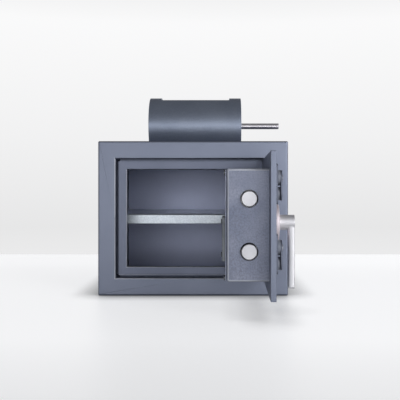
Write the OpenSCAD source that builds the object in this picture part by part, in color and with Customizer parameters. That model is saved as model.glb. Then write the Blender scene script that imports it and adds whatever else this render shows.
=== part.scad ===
// Drop safe with an inset door and a rotary deposit drum on its roof
// Millimetres, +Z up, the door faces -Y, the origin is the middle of the base

/* [Body] */
// Width of the body across the front
body_w = 330; // [310:2:400]
// Depth of the body from its front face to its back
body_d = 380; // [340:5:480]
// Height of the body, without the drum
body_h = 268; // [260:2:320]
// Thickness of the folded roof, floor and sides
shell_t = 4; // [3:0.5:5]
// Radius on the four long edges of the body
shell_edge_r = 2.5; // [1:0.5:4]
// Thickness of the back plate
back_t = 4; // [3:0.5:8]
// Distance between the base anchor holes, across
anchor_x = 200; // [120:5:240]
// Distance between the base anchor holes, front to back
anchor_y = 240; // [150:5:280]
// Diameter of an anchor hole
anchor_d = 12; // [8:0.5:16]

/* [Front frame] */
// Width of the frame's face all round the door
frame_face_w = 30.2; // [28:0.2:34]
// Thickness of the frame's face
frame_t = 4; // [3:0.5:5]
// Thickness of the walls of the door recess
recess_wall_t = 3; // [2:0.5:4]
// Depth of the walls of the door recess
recess_depth = 28; // [26:1:34]
// Width of the groove round the stop frame
groove_w = 4.2; // [3:0.2:6]
// Width of the stop frame's face
stop_face_w = 14.4; // [12:0.2:17]
// Thickness of the stop frame's sheet
stop_t = 3; // [2:0.5:3.5]

/* [Door] */
// Angle at which the door stands open
door_open = 88.5; // [0:0.5:108]
// Thickness of the door plate
door_t = 8; // [7:0.5:10]
// Gap above and below the door plate
door_gap = 1; // [0.8:0.1:2]
// Gap beside the door plate's free edge
latch_gap = 1.5; // [1:0.1:2.5]
// Gap beside the door plate's hinge edge
hinge_gap = 1.8; // [1.5:0.1:3]
// How far the door plate reaches past the hinge axis
hinge_over = 8.1; // [6:0.1:10]
// Gap between the closed door and the stop frame
door_seat_gap = 2; // [1.5:0.1:4]
// Room left round everything that swings with the door
swing_gap = 0.7; // [0.5:0.1:1.5]
// Diameter of a hinge pin
hinge_pin_d = 5; // [4:0.5:5.5]
// Length of a hinge pin inside the door plate
hinge_pin_in_door = 16; // [10:1:24]
// Length of a hinge pin inside the frame
hinge_pin_in_frame = 10; // [7:1:16]

/* [Bolt box] */
// Depth of the bolt box behind the door plate
box_depth = 59.5; // [54:0.5:64]
// Sheet thickness of the bolt box
box_t = 2; // [1.5:0.1:2.5]
// Gap from the bolt box to the top and bottom of the opening
box_gap_z = 6.2; // [4:0.2:8]
// Gap from the bolt box to the opening at the hinge side
box_gap_hinge = 9.3; // [6:0.1:20]
// Width of the flanges that the cover is screwed to
box_flange_w = 10; // [8:0.5:12]
// Thickness of the cover on the back of the bolt box
cover_t = 2; // [1:0.1:2.5]
// Joint gap between the bolt box and its cover
cover_gap = 0.4; // [0.2:0.1:0.6]
// Height of the lock guard on the cover
guard_h = 62; // [50:1:66]
// Width of the lock guard on the cover
guard_w = 60; // [40:1:80]
// How far the lock guard stands off the cover
guard_proud = 4.6; // [3:0.2:5]
// Distance from the lock guard's middle down to the middle of the door
guard_drop = 20; // [10:1:24]

/* [Bolt work] */
// Diameter of a locking bolt
bolt_d = 22; // [18:0.5:23]
// Chamfer on the end of a locking bolt
bolt_chamfer = 3; // [1:0.5:4]
// Distance between the two locking bolts
bolt_spacing = 74; // [66:1:80]
// Distance of the bolts' axis behind the door plate
bolt_in = 28.5; // [28:0.5:31]
// Travel of the locking bolts
bolt_travel = 15; // [13:0.5:18]
// Gap round a bolt where it leaves the box
bolt_hole_gap = 1.6; // [1:0.1:2.5]
// Thickness of the inner bolt guide
guide_t = 4; // [3:0.5:8]
// Thickness of the carriage's bar and arm
carriage_t = 4; // [3:0.5:5]
// Width of the carriage's bar along the bolts
carriage_bar_w = 8; // [8:0.5:12]
// Width of a blocking tab on the carriage
tab_w = 6; // [4:0.5:7]

/* [Handle] */
// Distance of the handle's axis from the door plate's free edge
handle_in = 112.2; // [106:0.2:118]
// Diameter of the handle's spindle
spindle_d = 12; // [10:0.5:13]
// Radius of the cam on the spindle
cam_r = 16; // [15:0.5:18]
// Thickness of the cam
cam_t = 6; // [4:0.5:7]
// Diameter of the cam's drive pin
cam_pin_d = 6; // [4:0.5:6.5]
// Diameter of the rose behind the handle
rose_d = 55; // [40:1:60]
// Thickness of the rose
rose_t = 10; // [5:0.5:12]
// How far the handle stands off the door
handle_proud = 34; // [30:0.5:45]
// Diameter of the handle's hub
handle_hub_d = 23; // [20:0.5:26]
// Thickness of the handle's grip
grip_t = 9.7; // [7:0.1:12]
// Width of the handle's grip
grip_w = 20; // [14:0.5:24]
// Length of the handle below its axis
grip_len = 99.6; // [80:0.2:100]

/* [Key locks] */
// Distance of the keyholes from the door plate's free edge
lock_in = 53.2; // [48:0.2:58]
// Depth of the upper keyhole below the top of the bolt box
upper_key_in = 35; // [27:0.5:37]
// Height of the lower keyhole above the bottom of the bolt box
lower_key_in = 23; // [23:0.5:33]
// Height of a key cover's rivet above its keyhole
cover_rivet_up = 22.6; // [21:0.2:25]
// Thickness of a lock's escutcheon
escutcheon_t = 4.5; // [3:0.5:6]
// Width of a lock's escutcheon
escutcheon_w = 26; // [24:0.5:36]
// How far a lock's escutcheon reaches below its keyhole
escutcheon_low = 15.2; // [12:0.2:17]
// How far a lock's escutcheon reaches above its keyhole
escutcheon_high = 42.8; // [38:0.2:45]
// Diameter of a keyhole bezel
bezel_d = 19; // [14:0.5:20]
// Height of a keyhole bezel
bezel_t = 3.7; // [2:0.1:3.8]
// Diameter of a key cover's boss
cover_boss_d = 22; // [16:0.5:22]
// Height of a key cover's boss
cover_boss_t = 4; // [4:0.1:6]
// Thickness of a key cover
key_cover_t = 2; // [1:0.1:3]
// Width of a key cover
key_cover_w = 22; // [20:0.5:24]
// Length of a key cover below its rivet
key_cover_len = 32.5; // [30:0.5:35]
// Diameter of a key cover's rivet
rivet_d = 5; // [4:0.5:7]
// Height of a lock case
lock_case_h = 40; // [34:1:41]
// Length of a lock case
lock_case_w = 60; // [58:0.5:62]
// Depth of a lock case
lock_case_t = 16; // [12:0.5:16]
// Travel of a lock bolt
lock_bolt_travel = 8; // [5:0.5:9]

/* [Shelf] */
// Height of the shelf above the base
shelf_z = 138.5; // [110:0.5:160]
// Thickness of the shelf's sheet
shelf_t = 1.5; // [1:0.1:3]
// Height of the shelf's front lip
shelf_lip_h = 17.5; // [10:0.5:25]
// Gap between the shelf and the closed door's bolt box
shelf_gap = 5; // [3:0.5:30]
// Gap beside the shelf
shelf_side_gap = 1.5; // [0.8:0.1:3]
// Leg of a shelf bracket
bracket_leg = 20; // [12:1:30]
// Thickness of a shelf bracket
bracket_t = 2; // [1.5:0.1:3]

/* [Deposit drum] */
// Outer radius of the drum housing
drum_r = 54.5; // [52:0.5:58]
// Length of the drum housing
drum_len = 175; // [165:1:200]
// Wall of the drum housing
drum_wall = 3; // [2:0.5:3.5]
// Height of the drum's axis above the roof
drum_rise = 39.6; // [36:0.2:44]
// Distance of the drum's axis behind the front of the body
drum_back = 151; // [140:1:200]
// Width of the housing left at each end of the window
drum_band = 22; // [20:0.5:26]
// Angle at which the window starts, from the front upwards
window_start = 63; // [60:1:70]
// Angle that the window and the scoop's mouth span
window_span = 84; // [70:1:84]
// Angle that the throat into the safe spans
throat_span = 74; // [60:1:76]
// Thickness of a housing end plate
end_plate_t = 4; // [3:0.5:6]
// Sheet thickness of the rotor's scoop
scoop_t = 2.5; // [1.5:0.1:4]
// Running gap between the rotor and its housing
rotor_gap = 1.2; // [0.8:0.1:2.5]
// Thickness of a rotor end disc
disc_t = 3; // [2:0.5:5]
// Diameter of a rotor stub shaft
stub_d = 12; // [10:0.5:14]
// Angle that the rotor turns through
rotor_turn = 165; // [150:1:166]
// Distance of the rod from the drum's axis
rod_r = 36; // [32:0.5:37]
// Diameter of the rod
rod_d = 11; // [8:0.5:12]
// Length of the rod beyond the housing
rod_proud = 71.5; // [50:0.5:76]
// Angle of the rod at rest, from the front upwards
rod_angle = -5; // [-6:1:0]
// Height of the chute below the roof
chute_h = 32; // [26:1:40]
// Half depth of the chute, front to back
chute_half = 44; // [40:1:50]
// Sheet thickness of the chute
chute_t = 2; // [1.5:0.1:3]
// Length of a tooth of an anti-fishing comb
tooth_len = 18; // [10:1:20]
// Number of teeth on an anti-fishing comb
tooth_count = 14; // [8:1:16]

/* [Screws and fits] */
// Diameter of the small screws
screw_d = 4; // [3:0.5:4]
// Running gap round a pin, shaft or bolt, on the radius
run_gap = 0.06; // [0.04:0.01:0.09]
// Gap round a piece that is pressed or screwed in, on the radius
seat_gap = 0.02; // [0.01:0.01:0.05]
// Gap between faces that slide past each other
slide_gap = 0.3; // [0.2:0.05:0.5]

/* [Hidden] */
$fn = 72;
eps = 0.01;
front_y = -body_d / 2;
back_y = body_d / 2;
mid_z = body_h / 2;

recess_w = body_w - 2 * frame_face_w;
recess_h = body_h - 2 * frame_face_w;
stop_w = recess_w - 2 * groove_w;
stop_h = recess_h - 2 * groove_w;
opening_w = stop_w - 2 * stop_face_w;
opening_h = stop_h - 2 * stop_face_w;

// Hinge axis, and the door's own frame: origin on the axis, free edge at -X, inwards +Y
pivot_in = door_t / 2;
pivot_x = recess_w / 2 - hinge_gap - hinge_over;
pivot_y = front_y + pivot_in;
door_h = recess_h - 2 * door_gap;
door_free_x = latch_gap - recess_w / 2 - pivot_x;
handle_u = -door_free_x - handle_in;
lock_u = -door_free_x - lock_in;
plate_out = -pivot_in;
plate_in = door_t - pivot_in;
hinge_edge_r = norm([hinge_over, max(plate_in, pivot_in)]);

stop_y = front_y + door_t + door_seat_gap;
hinge_stop_y = pivot_y + hinge_edge_r + swing_gap;
hinge_stop_x = pivot_x - hinge_edge_r - 3;
edge_u = pivot_x + opening_w / 2;
swing_r = norm([edge_u, stop_y - pivot_y]) - swing_gap;

box_back = plate_in + box_depth;
cover_in = box_back + cover_gap;
cover_back = cover_in + cover_t;
box_latch_x = -sqrt(pow(swing_r, 2) - pow(cover_back, 2));
box_hinge_x = opening_w / 2 - pivot_x - box_gap_hinge;
box_h = opening_h - 2 * box_gap_z;
guard_back = cover_back + guard_proud;
guard_x = -sqrt(pow(swing_r, 2) - pow(guard_back, 2)) + 2;
guard_z = mid_z - guard_drop;

bolt_r = bolt_d / 2;
bolt_v = plate_in + bolt_in;
bolt_tip_x = -sqrt(pow(swing_r, 2) - pow(bolt_v + bolt_r - bolt_chamfer, 2));
bolt_pass_gap = 1.5;
stop_back_y = pivot_y + bolt_v - bolt_r - bolt_pass_gap;
dog_w = 10;
dog_h = 100;
dog_reach = 6;
dog_x1 = opening_w / 2 - pivot_x + dog_reach;
dog_in = norm([pivot_x - opening_w / 2, stop_back_y - pivot_y]) + 1;

// Boltwork: cam, carriage and the tabs that the lock bolts block
crank_r = bolt_travel / 2 / sin(45);
crank_z = crank_r * cos(45);
cam_slot_gap = 0.45;
cam_gap = 2;
carriage_depth = 2 * carriage_t + 8;
arm_in = bolt_v + carriage_t;
arm_back = arm_in + carriage_t;
cam_back = arm_in - 2.5;
cam_in = cam_back - cam_t;
bar_x1 = -(handle_u + cam_r + cam_gap);
bar_x0 = bar_x1 - carriage_bar_w;
bar_h = bolt_spacing + bolt_d + 4;
slot_x = -handle_u + crank_z;
slot_w = cam_pin_d + 2 * cam_slot_gap;
carriage_screw_d = 6;
carriage_screw_in = 14;
carriage_head_r = 4.8;
carriage_head_t = 4;

tab_gap = 0.5;
tab_case_gap = 2;
tab_past_bar = 2.5;
tab_x1 = bar_x1 + tab_past_bar;
tab_x0 = tab_x1 - tab_w;
tab_h = 8;
lock_bolt_wall = 4;
lock_bolt_w = bolt_travel - tab_w - 2 * tab_gap;
lock_bolt_x1 = tab_x0 - tab_gap;
lock_bolt_x0 = lock_bolt_x1 - lock_bolt_w;
lock_bolt_in = plate_in + lock_bolt_wall;
lock_bolt_t = 8;
lock_bolt_len = lock_bolt_travel + 6;
lock_case_wall = 2;
lock_case_x1 = lock_bolt_x1 + lock_case_wall;
lock_case_x0 = lock_case_x1 - lock_case_w;
key_zs = [mid_z + box_h / 2 - upper_key_in, mid_z - box_h / 2 + lower_key_in];
upper_case_z = key_zs[0] - lock_case_h / 2;
lower_case_z = key_zs[1] + lock_case_h / 2;
lock_screw_inset = 6;
lock_screw_in = 5;
lock_screw_head_t = 1;

// Door furniture, outwards from the door's face
escutcheon_out = plate_out - escutcheon_t;
boss_out = escutcheon_out - cover_boss_t;
key_cover_in = boss_out - slide_gap;
key_cover_out = key_cover_in - key_cover_t;
rivet_head_t = 1;
rivet_head_r = rivet_d / 2 + 2.5;
rivet_in = 4;
key_hole_r = 4;
grip_round_r = 4;
clip_t = 1.2;
clip_groove = 1;

// Shelf
shelf_y0 = pivot_y + guard_back + shelf_gap;
shelf_y1 = back_y - back_t - 2;
shelf_w = body_w - 2 * shell_t - 2 * shelf_side_gap;

// Drum: angles run from the front over the top to the back
drum_y = front_y + drum_back;
drum_z = body_h + drum_rise;
window_half = drum_len / 2 - drum_band;
throat_mid = 270;
housing_in_r = drum_r - drum_wall;
rotor_r = housing_in_r - rotor_gap;
end_plate_inset = 3;
end_plate_x = drum_len / 2 - end_plate_inset - end_plate_t;
lug_len = 10;
lug_w = 8;
lug_angles = [45, 135, 225, 315];
lug_screw_r = housing_in_r - lug_w / 2;
disc_x = end_plate_x - lug_len - 1.5 - disc_t;
bush_r = stub_d / 2 + 2;
bush_flange_r = bush_r + 3;
bush_flange_t = 1.5;
stub_collar_r = stub_d / 2 + 4;
rod_slot_gap = 0.5;
rod_neck_d = 8;
rod_nut_t = 6;
rod_nut_r = 7.5;
chute_end_gap = 2.5;
chute_half_x = drum_len / 2 + chute_end_gap;
comb_t = 2;
comb_flange = 10;
comb_z = body_h - shell_t - chute_h + 4;

// Box between two opposite corners
module block(a, b) {
  translate(a) cube(b - a);
}

// Cylinder along +Y from y0 to y1, at x and z
module rod_y(x, z, r, y0, y1) {
  translate([x, y0, z]) rotate([-90, 0, 0]) cylinder(r = r, h = y1 - y0);
}

// Cylinder along +X from x0 to x1, at y and z
module rod_x(y, z, r, x0, x1) {
  translate([x0, y, z]) rotate([0, 90, 0]) cylinder(r = r, h = x1 - x0);
}

// Flat rectangle with round corners, centred
module rounded_rect(w, h, r) {
  square([w - 2 * r, h], center = true);
  square([w, h - 2 * r], center = true);
  for (x = [-1, 1], y = [-1, 1]) translate([x * (w / 2 - r), y * (h / 2 - r)]) circle(r);
}

// Upright outline drawn in X and Z, given depth from y0 to y1
module upright(y0, y1) {
  translate([0, y1, 0]) rotate([90, 0, 0]) linear_extrude(y1 - y0) children();
}

// The door's own frame, turned to where the door stands
module on_door() {
  translate([pivot_x, pivot_y, 0]) rotate([0, 0, door_open]) children();
}

// The drum's own frame: Z runs along the axis to the left end, X to the front, Y up
module on_drum() {
  translate([0, drum_y, drum_z]) rotate([90, 0, -90]) children();
}

// Wedge of the drum between two angles, half_len each way along the axis
module drum_wedge(a0, a1, r, half_len) {
  steps = 4;
  far = r / cos((a1 - a0) / steps / 2);
  outline = [for (i = [0:steps]) let (a = a0 + (a1 - a0) * i / steps) far * [cos(a), sin(a)]];
  translate([0, 0, -half_len]) linear_extrude(2 * half_len) polygon(concat([[0, 0]], outline));
}

// Body

module outer_shell() {
  in_w = body_w - 2 * shell_t;
  in_h = body_h - 2 * shell_t;
  color("slategray") difference() {
    translate([0, 0, mid_z]) upright(front_y + frame_t, back_y) difference() {
      rounded_rect(body_w, body_h, shell_edge_r);
      square([in_w, in_h], center = true);
    }
    rod_x(drum_y, drum_z, drum_r + seat_gap, -drum_len / 2 - seat_gap, drum_len / 2 + seat_gap);
    for (x = [-1, 1], y = [-1, 1])
      translate([x * anchor_x / 2, y * anchor_y / 2, -1]) cylinder(d = anchor_d, h = shell_t + 2);
  }
}

module back_plate() {
  inset = 2 * (shell_t + seat_gap);
  color("slategray") translate([0, 0, mid_z]) upright(back_y - back_t, back_y)
    square([body_w - inset, body_h - inset], center = true);
}

module hinge_pin_holes() {
  for (side = [0, 1]) mirror_height(side)
    translate([pivot_x, pivot_y, frame_face_w - hinge_pin_in_frame])
      cylinder(r = hinge_pin_d / 2 + seat_gap, h = hinge_pin_in_frame + 1);
}

// Keeps a shape at the bottom, or mirrors it to the top of the body
module mirror_height(side) {
  translate([0, 0, side * body_h]) mirror([0, 0, side]) children();
}

module door_frame() {
  color("slategray") difference() {
    union() {
      translate([0, 0, mid_z]) upright(front_y, front_y + frame_t) difference() {
        rounded_rect(body_w, body_h, shell_edge_r);
        square([recess_w, recess_h], center = true);
      }
      translate([0, 0, mid_z]) upright(front_y + frame_t, front_y + recess_depth) difference() {
        square([recess_w + 2 * recess_wall_t, recess_h + 2 * recess_wall_t], center = true);
        square([recess_w, recess_h], center = true);
      }
    }
    hinge_pin_holes();
  }
}

// One straight run of the hat section, drawn across X and running up Z: face, returns, flange
module stop_run(face_y, z0, z1) {
  web_y = front_y + recess_depth;
  x_in = opening_w / 2;
  x_out = stop_w / 2;
  block([x_in, face_y, z0], [x_out, face_y + stop_t, z1]);
  block([x_in, face_y, z0], [x_in + stop_t, stop_back_y, z1]);
  block([x_out - stop_t, face_y, z0], [x_out, web_y, z1]);
  block([x_out - stop_t, web_y - stop_t, z0], [recess_w / 2 - seat_gap, web_y, z1]);
}

// The same section lying along X between x0 and x1, at the bottom of the opening
module stop_run_low(face_y, x0, x1) {
  web_y = front_y + recess_depth;
  z_out = (body_h - stop_h) / 2;
  z_in = (body_h - opening_h) / 2;
  block([x0, face_y, z_out], [x1, face_y + stop_t, z_in]);
  block([x0, face_y, z_in - stop_t], [x1, stop_back_y, z_in]);
  block([x0, face_y, z_out], [x1, web_y, z_out + stop_t]);
  block([x0, web_y - stop_t, frame_face_w + seat_gap], [x1, web_y, z_out + stop_t]);
}

// Set back beside the hinge, where the door plate's edge swings inwards
module stop_frame() {
  z0 = (body_h - stop_h) / 2;
  z1 = body_h - z0;
  step_x = hinge_stop_x - stop_t;
  color("slategray") {
    stop_run(hinge_stop_y, z0, z1);
    mirror([1, 0, 0]) stop_run(stop_y, z0, z1);
    for (side = [0, 1]) mirror_height(side) {
      stop_run_low(stop_y, -stop_w / 2, hinge_stop_x);
      stop_run_low(hinge_stop_y, hinge_stop_x - eps, stop_w / 2);
      block([step_x, stop_y, z0], [hinge_stop_x, hinge_stop_y + stop_t, z0 + stop_face_w]);
    }
  }
}

module hinge_pins() {
  color("silver") for (side = [0, 1]) mirror_height(side)
    translate([pivot_x, pivot_y, frame_face_w - hinge_pin_in_frame])
      cylinder(d = hinge_pin_d, h = hinge_pin_in_frame + door_gap + hinge_pin_in_door);
}

// Blocks welded behind the frame, that the hinge pins are pressed into
module hinge_pads() {
  pad_w = 16;
  pad_d = 12;
  pad_h = 12;
  pad_top = frame_face_w - recess_wall_t - seat_gap;
  color("slategray") difference() {
    for (side = [0, 1]) mirror_height(side)
      block([pivot_x - pad_w / 2, front_y + frame_t + seat_gap, pad_top - pad_h],
            [pivot_x + pad_w / 2, front_y + frame_t + pad_d, pad_top]);
    hinge_pin_holes();
  }
}

module hinge_washers() {
  rim = 1.3;
  bore_gap = 0.1;
  face_gap = 0.1;
  color("silver") for (side = [0, 1]) mirror_height(side)
    translate([pivot_x, pivot_y, frame_face_w]) difference() {
      cylinder(r = hinge_pin_d / 2 + rim, h = door_gap - face_gap);
      translate([0, 0, -1]) cylinder(r = hinge_pin_d / 2 + bore_gap, h = door_gap + 2);
    }
}

module shelf() {
  color("gainsboro") {
    translate([-shelf_w / 2, shelf_y0, shelf_z - shelf_t]) cube([shelf_w, shelf_y1 - shelf_y0, shelf_t]);
    translate([-shelf_w / 2, shelf_y0, shelf_z - shelf_lip_h]) cube([shelf_w, shelf_t, shelf_lip_h]);
    translate([-shelf_w / 2, shelf_y1 - shelf_t, shelf_z - shelf_lip_h])
      cube([shelf_w, shelf_t, shelf_lip_h]);
  }
}

module shelf_brackets() {
  wall_x = body_w / 2 - shell_t - seat_gap;
  top_z = shelf_z - shelf_t - seat_gap;
  lip_gap = 3;
  y0 = shelf_y0 + shelf_t + lip_gap;
  y1 = shelf_y1 - shelf_t - lip_gap;
  color("slategray") for (side = [0, 1]) mirror([side, 0, 0]) {
    block([wall_x - bracket_t, y0, top_z - bracket_leg], [wall_x, y1, top_z]);
    block([wall_x - bracket_leg, y0, top_z - bracket_t], [wall_x, y1, top_z]);
  }
}

module deposit_chute() {
  top_z = body_h - shell_t - seat_gap;
  color("slategray") translate([0, drum_y, top_z - chute_h]) difference() {
    translate([-chute_half_x - chute_t, -chute_half - chute_t, 0])
      cube([2 * (chute_half_x + chute_t), 2 * (chute_half + chute_t), chute_h]);
    translate([-chute_half_x, -chute_half, -1])
      cube([2 * chute_half_x, 2 * chute_half, chute_h + 2]);
  }
}

// Toothed angles along the chute's long walls, the teeth pointing inwards
module anti_fishing_combs() {
  half = chute_half_x - 2;
  pitch = 2 * half / tooth_count;
  root = 3;
  color("silver") for (side = [0, 1]) translate([0, drum_y, comb_z]) mirror([0, side, 0])
    translate([-half, -chute_half + seat_gap, 0]) {
      cube([2 * half, comb_t, comb_flange]);
      linear_extrude(comb_t) for (i = [0:tooth_count - 1])
        translate([i * pitch, 0])
          polygon([[0, 0], [pitch, 0], [pitch, root], [pitch / 2, tooth_len], [0, root]]);
    }
}

// Drum housing

module drum_housing() {
  color("slategray") on_drum() difference() {
    cylinder(r = drum_r, h = drum_len, center = true);
    cylinder(r = housing_in_r, h = drum_len + 2, center = true);
    drum_wedge(window_start, window_start + window_span, drum_r + 5, window_half);
    drum_wedge(throat_mid - throat_span / 2, throat_mid + throat_span / 2, drum_r + 5, window_half);
  }
}

module lug_screw_holes(r) {
  for (a = lug_angles) rotate([0, 0, a]) translate([lug_screw_r, 0, end_plate_x - lug_len - 1])
    cylinder(r = r, h = lug_len + end_plate_t + 2);
}

module end_plate_blank() {
  difference() {
    translate([0, 0, end_plate_x]) cylinder(r = housing_in_r - seat_gap, h = end_plate_t);
    cylinder(r = bush_r + seat_gap, h = drum_len);
    lug_screw_holes(screw_d / 2 + 0.2);
  }
}

module left_end_plate() {
  color("slategray") on_drum() end_plate_blank();
}

// Arc slot that the rod travels in, with drilled ends a little wider than the slot
module rod_slot() {
  half_w = rod_d / 2 + rod_slot_gap;
  end_r = half_w + 0.15;
  a0 = rod_angle;
  a1 = rod_angle + rotor_turn;
  translate([0, 0, -drum_len / 2]) {
    intersection() {
      difference() {
        cylinder(r = rod_r + half_w, h = drum_len);
        translate([0, 0, -1]) cylinder(r = rod_r - half_w, h = drum_len + 2);
      }
      linear_extrude(drum_len) polygon(concat([[0, 0]],
        [for (i = [0:8]) let (a = a0 + (a1 - a0) * i / 8) 2 * rod_r * [cos(a), sin(a)]]));
    }
    for (a = [a0, a1]) rotate([0, 0, a]) translate([rod_r, 0, 0]) cylinder(r = end_r, h = drum_len);
  }
}

module right_end_plate() {
  color("slategray") on_drum() difference() {
    mirror([0, 0, 1]) end_plate_blank();
    rod_slot();
  }
}

module end_plate_lugs() {
  color("slategray") on_drum() for (side = [0, 1]) mirror([0, 0, side]) difference() {
    intersection() {
      for (a = lug_angles) rotate([0, 0, a])
        translate([housing_in_r - lug_w, -lug_w / 2, end_plate_x - lug_len])
          cube([lug_w + 2, lug_w, lug_len - seat_gap]);
      cylinder(r = housing_in_r - seat_gap, h = drum_len);
    }
    lug_screw_holes(screw_d / 2 + seat_gap);
  }
}

module end_plate_screws() {
  short = 2;
  color("silver") on_drum() for (side = [0, 1]) mirror([0, 0, side])
    for (a = lug_angles) rotate([0, 0, a]) translate([lug_screw_r, 0, end_plate_x]) {
      translate([0, 0, short - lug_len])
        cylinder(d = screw_d, h = lug_len - short + end_plate_t + seat_gap + eps);
      translate([0, 0, end_plate_t + seat_gap]) cylinder(d = 2 * screw_d - 1, h = screw_d * 0.6);
    }
}

module drum_bushes() {
  color("goldenrod") on_drum() for (side = [0, 1]) mirror([0, 0, side]) difference() {
    union() {
      translate([0, 0, end_plate_x - seat_gap]) cylinder(r = bush_r, h = end_plate_t);
      translate([0, 0, end_plate_x - bush_flange_t - seat_gap])
        cylinder(r = bush_flange_r, h = bush_flange_t);
    }
    cylinder(r = stub_d / 2 + run_gap, h = drum_len);
  }
}

// Drum rotor

module rotor_scoop() {
  half = disc_x - seat_gap;
  color("lightslategray") on_drum() difference() {
    cylinder(r = rotor_r, h = 2 * half, center = true);
    cylinder(r = rotor_r - scoop_t, h = 2 * half + 2, center = true);
    drum_wedge(window_start, window_start + window_span, drum_r + 5, half + 1);
  }
}

module rotor_end_discs() {
  color("lightslategray") on_drum() {
    translate([0, 0, disc_x]) difference() {
      cylinder(r = rotor_r, h = disc_t);
      translate([0, 0, -1]) cylinder(r = stub_d / 2 + seat_gap, h = disc_t + 2);
    }
    translate([0, 0, -disc_x - disc_t]) difference() {
      cylinder(r = rotor_r, h = disc_t);
      translate([0, 0, -1]) cylinder(r = stub_d / 2 + seat_gap, h = disc_t + 2);
      rotate([0, 0, rod_angle]) translate([rod_r, 0, -1])
        cylinder(r = rod_neck_d / 2 + seat_gap, h = disc_t + 2);
    }
  }
}

module rotor_stub_shafts() {
  collar_len = end_plate_x - bush_flange_t - disc_x - disc_t - slide_gap;
  color("silver") on_drum() for (side = [0, 1]) mirror([0, 0, side]) {
    translate([0, 0, disc_x - 2]) cylinder(d = stub_d, h = end_plate_x + end_plate_t - disc_x + 2);
    translate([0, 0, disc_x + disc_t + seat_gap])
      cylinder(r = stub_collar_r, h = collar_len - 2 * seat_gap);
  }
}

module rotor_rod() {
  shoulder = disc_x + disc_t + seat_gap;
  neck_start = disc_x - rod_nut_t - 2;
  chamfer = 1;
  end = drum_len / 2 + rod_proud;
  color("silver") on_drum() rotate([0, 0, rod_angle]) mirror([0, 0, 1]) translate([rod_r, 0, 0]) {
    translate([0, 0, shoulder]) cylinder(d = rod_d, h = end - chamfer - shoulder);
    translate([0, 0, end - chamfer - eps])
      cylinder(r1 = rod_d / 2, r2 = rod_d / 2 - chamfer, h = chamfer + eps);
    translate([0, 0, neck_start]) cylinder(d = rod_neck_d, h = shoulder - neck_start + 1);
  }
}

module rod_nut() {
  color("silver") on_drum() rotate([0, 0, rod_angle]) mirror([0, 0, 1])
    translate([rod_r, 0, disc_x - rod_nut_t - seat_gap]) difference() {
      cylinder(r = rod_nut_r, h = rod_nut_t, $fn = 6);
      translate([0, 0, -1]) cylinder(r = rod_neck_d / 2 + seat_gap, h = rod_nut_t + 2);
    }
}

// Door

module door_plate() {
  z0 = mid_z - door_h / 2;
  z1 = mid_z + door_h / 2;
  pin_hole = hinge_pin_in_door + 0.5;
  color("slategray") on_door() difference() {
    block([door_free_x, plate_out, z0], [hinge_over, plate_in, z1]);
    for (z = [z0 - 1, z1 - pin_hole])
      translate([0, 0, z]) cylinder(r = hinge_pin_d / 2 + run_gap, h = pin_hole + 1);
    rod_y(-handle_u, mid_z, spindle_d / 2 + run_gap, plate_out - 1, plate_in + 1);
    for (z = key_zs) {
      rod_y(-lock_u, z, key_hole_r, plate_out - 1, plate_in + 1);
      rod_y(-lock_u, z + cover_rivet_up, rivet_d / 2 + seat_gap, plate_out - 1, plate_out + rivet_in);
    }
    lock_screw_holes(plate_in - lock_screw_in, plate_in + 1);
  }
}

// Open towards the door plate, with flanges round the back for the cover
module bolt_box() {
  z0 = mid_z - box_h / 2;
  z1 = mid_z + box_h / 2;
  color("slategray") on_door() difference() {
    block([box_latch_x, plate_in, z0], [box_hinge_x, box_back, z1]);
    block([box_latch_x + box_t, plate_in - 1, z0 + box_t],
          [box_hinge_x - box_t, box_back - box_t, z1 - box_t]);
    block([box_latch_x + box_flange_w, plate_in, z0 + box_flange_w],
          [box_hinge_x - box_flange_w, box_back + 1, z1 - box_flange_w]);
    for (side = [-1, 1])
      rod_x(bolt_v, mid_z + side * bolt_spacing / 2, bolt_r + bolt_hole_gap,
            box_latch_x - 1, box_latch_x + box_t + 1);
    for (p = cover_screw_places()) rod_y(p[0], p[1], screw_d / 2 + seat_gap, plate_in, box_back + 1);
  }
}

function cover_screw_places() = [
  for (x = [box_latch_x + box_flange_w / 2,
            (box_latch_x + box_hinge_x) / 2,
            box_hinge_x - box_flange_w / 2],
       side = [-1, 1])
    [x, mid_z + side * (box_h / 2 - box_flange_w / 2)]
];

function guard_screw_places() = [
  for (side = [-1, 1]) [guard_x + guard_w / 2, guard_z + side * (guard_h / 2 - 7)]
];

module box_cover() {
  inset = 0.8;
  color("slategray") on_door() difference() {
    block([box_latch_x + inset, cover_in, mid_z - box_h / 2 + inset],
          [box_hinge_x - inset, cover_back, mid_z + box_h / 2 - inset]);
    for (p = concat(cover_screw_places(), guard_screw_places()))
      rod_y(p[0], p[1], screw_d / 2 + 0.2, cover_in - 1, cover_back + 1);
  }
}

module pan_screw(x, z, head_y, length) {
  rod_y(x, z, screw_d / 2, head_y - length, head_y + eps);
  rod_y(x, z, screw_d * 0.9, head_y, head_y + screw_d * 0.5);
}

module cover_screws() {
  color("silver") on_door() for (p = cover_screw_places())
    pan_screw(p[0], p[1], cover_back + seat_gap, cover_t + cover_gap + box_t + 1);
}

module lock_guard() {
  wall = 1.2;
  z0 = guard_z - guard_h / 2;
  z1 = guard_z + guard_h / 2;
  color("tan") on_door() difference() {
    block([guard_x, cover_back + seat_gap, z0], [guard_x + guard_w, guard_back, z1]);
    difference() {
      block([guard_x + wall, cover_back - 1, z0 + wall],
            [guard_x + guard_w - wall, guard_back - wall, z1 - wall]);
      for (p = guard_screw_places()) rod_y(p[0], p[1], screw_d + 1, cover_back - 2, guard_back);
    }
    for (p = guard_screw_places()) rod_y(p[0], p[1], screw_d / 2 + 0.2, cover_back - 1, guard_back + 1);
  }
}

module guard_screws() {
  color("silver") on_door() for (p = guard_screw_places())
    pan_screw(p[0], p[1], guard_back + seat_gap, guard_proud + cover_t + 2);
}

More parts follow.
